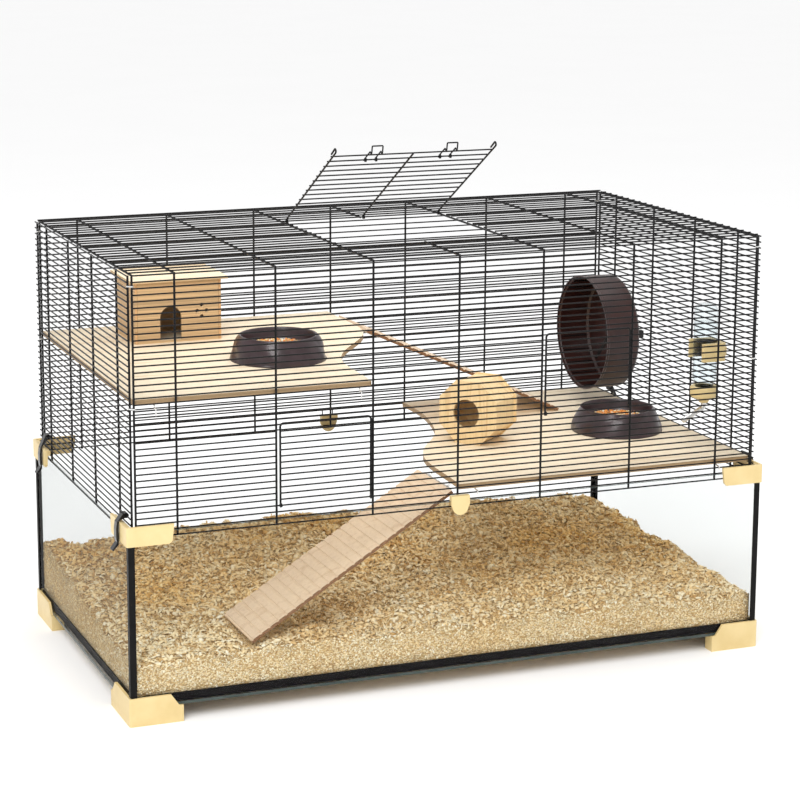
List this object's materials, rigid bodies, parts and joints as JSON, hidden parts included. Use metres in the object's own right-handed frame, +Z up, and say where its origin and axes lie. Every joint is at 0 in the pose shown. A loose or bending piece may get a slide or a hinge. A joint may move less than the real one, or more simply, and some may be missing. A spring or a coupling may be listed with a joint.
{
  "type": "hamster cage",
  "caption": "Glass-based hamster cage with a lift-off black wire top, shelves, ramps, running wheel, house, hide, bowls and bottle",
  "frame": {"origin": "centre of the footprint, on the floor under the feet", "axes": "+X along the length to the right, +Y to the back, +Z up; the two small doors face -Y"},
  "size_m": [1.0264, 0.5594, 0.782],
  "materials": {
    "glass": "clear, greenish at the edges",
    "black_seal": "matte black sealing strip",
    "cream_plastic": "pale cream moulding",
    "wood_shavings": "loose wood shavings",
    "black_wire": "glossy black coated wire",
    "plated_wire": "bright plated wire",
    "shelf_board": "pale sanded board",
    "black_plastic": "black moulding",
    "brown_plastic": "dark red-brown moulding",
    "clear_bottle": "clear plastic",
    "water": "water",
    "steel": "bright steel tube",
    "bowl_plastic": "dark purple-brown moulding",
    "feed": "mixed seeds and pellets",
    "plywood": "warm plywood",
    "ramp_board": "light brown grooved board"
  },
  "bodies": {
    "tank": {"tank_glass": "glass", "bottom_strips": "black_seal", "corner_strips": "black_seal", "corner_lugs": "cream_plastic", "feet": "cream_plastic", "bedding": "wood_shavings", "corner_brackets": "cream_plastic", "rim_clips": "cream_plastic", "rear_catch_barrel": "cream_plastic"},
    "rear_catch": {"rear_catch": "black_wire"},
    "wire_top": {"front_panel": "black_wire", "back_panel": "black_wire", "left_panel": "black_wire", "right_panel": "black_wire", "top_panel": "black_wire", "corner_clips": "plated_wire", "left_shelf": "shelf_board", "right_shelf": "shelf_board", "shelf_hooks": "plated_wire", "ramp_loops": "plated_wire", "wheel_bracket": "black_plastic", "wheel_axle": "plated_wire", "bottle_holder": "cream_plastic"},
    "low_door": {"low_door": "black_wire"},
    "high_door": {"high_door": "black_wire"},
    "top_door": {"top_door": "black_wire"},
    "top_latch_left": {"top_latch_left": "black_wire"},
    "top_latch_right": {"top_latch_right": "black_wire"},
    "latch_front_left": {"latch_front_left": "black_plastic"},
    "latch_front_right": {"latch_front_right": "black_plastic"},
    "latch_back_left": {"latch_back_left": "black_plastic"},
    "latch_back_right": {"latch_back_right": "black_plastic"},
    "wheel": {"wheel_drum": "brown_plastic", "wheel_treads": "brown_plastic", "wheel_hub": "black_plastic"},
    "bottle": {"bottle": "clear_bottle", "bottle_water": "water", "bottle_cap": "cream_plastic", "bottle_spout": "steel", "bottle_ball": "steel"},
    "bowl_left": {"bowl_left": "bowl_plastic", "feed_left": "feed"},
    "bowl_right": {"bowl_right": "bowl_plastic", "feed_right": "feed"},
    "house": {"house_walls": "plywood"},
    "roof": {"house_roof": "plywood"},
    "hide": {"hide_barrel": "plywood", "hide_boards": "plywood"},
    "lower_ramp": {"lower_ramp": "ramp_board", "lower_ramp_wire": "plated_wire"},
    "upper_ramp": {"upper_ramp": "ramp_board", "upper_ramp_wire": "plated_wire"}
  },
  "joints": [
    {"name": "wire_top_lift", "type": "slide", "parent": "tank", "child": "wire_top", "axis": [0, 0, 1], "range_m": [0, 0.35]},
    {"name": "rear_catch_swing", "type": "hinge", "parent": "tank", "child": "rear_catch", "pos_m": [0, 0.2797, 0.279], "axis": [-1, 0, 0], "range_deg": [0, 120]},
    {"name": "low_door_swing", "type": "hinge", "parent": "wire_top", "child": "low_door", "pos_m": [-0.2046, -0.26779, 0.2985], "axis": [1, 0, 0], "range_deg": [0, 145]},
    {"name": "high_door_swing", "type": "hinge", "parent": "wire_top", "child": "high_door", "pos_m": [0.2046, -0.26779, 0.3975], "axis": [1, 0, 0], "range_deg": [0, 150]},
    {"name": "top_door_swing", "type": "hinge", "parent": "wire_top", "child": "top_door", "pos_m": [0, 0.115, 0.64319], "axis": [-1, 0, 0], "range_deg": [-30.5, 119.5]},
    {"name": "top_latch_left_turn", "type": "hinge", "parent": "top_door", "child": "top_latch_left", "pos_m": [-0.06, -0.06846, 0.75751], "axis": [-1, 0, 0], "range_deg": [0, 60]},
    {"name": "top_latch_right_turn", "type": "hinge", "parent": "top_door", "child": "top_latch_right", "pos_m": [0.06, -0.06846, 0.75751], "axis": [-1, 0, 0], "range_deg": [0, 60]},
    {"name": "latch_front_left_turn", "type": "hinge", "parent": "wire_top", "child": "latch_front_left", "pos_m": [-0.49219, -0.236, 0.2985], "axis": [0, 1, 0], "range_deg": [0, 75]},
    {"name": "latch_front_right_turn", "type": "hinge", "parent": "wire_top", "child": "latch_front_right", "pos_m": [0.49219, -0.236, 0.2985], "axis": [0, -1, 0], "range_deg": [0, 75]},
    {"name": "latch_back_left_turn", "type": "hinge", "parent": "wire_top", "child": "latch_back_left", "pos_m": [-0.49219, 0.216, 0.3075], "axis": [0, 1, 0], "range_deg": [0, 90]},
    {"name": "latch_back_right_turn", "type": "hinge", "parent": "wire_top", "child": "latch_back_right", "pos_m": [0.49219, 0.216, 0.3075], "axis": [0, -1, 0], "range_deg": [0, 90]},
    {"name": "wheel_spin", "type": "hinge", "parent": "wire_top", "child": "wheel", "pos_m": [0.462, 0.146, 0.424], "axis": [1, 0, 0], "continuous": true},
    {"name": "bottle_lift", "type": "slide", "parent": "wire_top", "child": "bottle", "axis": [0, 0, 1], "range_m": [0, 0.04]},
    {"name": "bowl_left_lift", "type": "slide", "parent": "wire_top", "child": "bowl_left", "axis": [0, 0, 1], "range_m": [0, 0.1]},
    {"name": "bowl_right_lift", "type": "slide", "parent": "wire_top", "child": "bowl_right", "axis": [0, 0, 1], "range_m": [0, 0.1]},
    {"name": "house_lift", "type": "slide", "parent": "wire_top", "child": "house", "axis": [0, 0, 1], "range_m": [0, 0.035]},
    {"name": "roof_lift", "type": "slide", "parent": "house", "child": "roof", "axis": [0, 0, 1], "range_m": [0, 0.03]},
    {"name": "hide_lift", "type": "slide", "parent": "wire_top", "child": "hide", "axis": [0, 0, 1], "range_m": [0, 0.12]},
    {"name": "lower_ramp_swing", "type": "hinge", "parent": "wire_top", "child": "lower_ramp", "pos_m": [0.00256, -0.188, 0.28803], "axis": [0, 1, 0], "range_deg": [0, 30]},
    {"name": "upper_ramp_swing", "type": "hinge", "parent": "wire_top", "child": "upper_ramp", "pos_m": [-0.00013, 0.178, 0.45923], "axis": [0, -1, 0], "range_deg": [0, 20]}
  ]
}
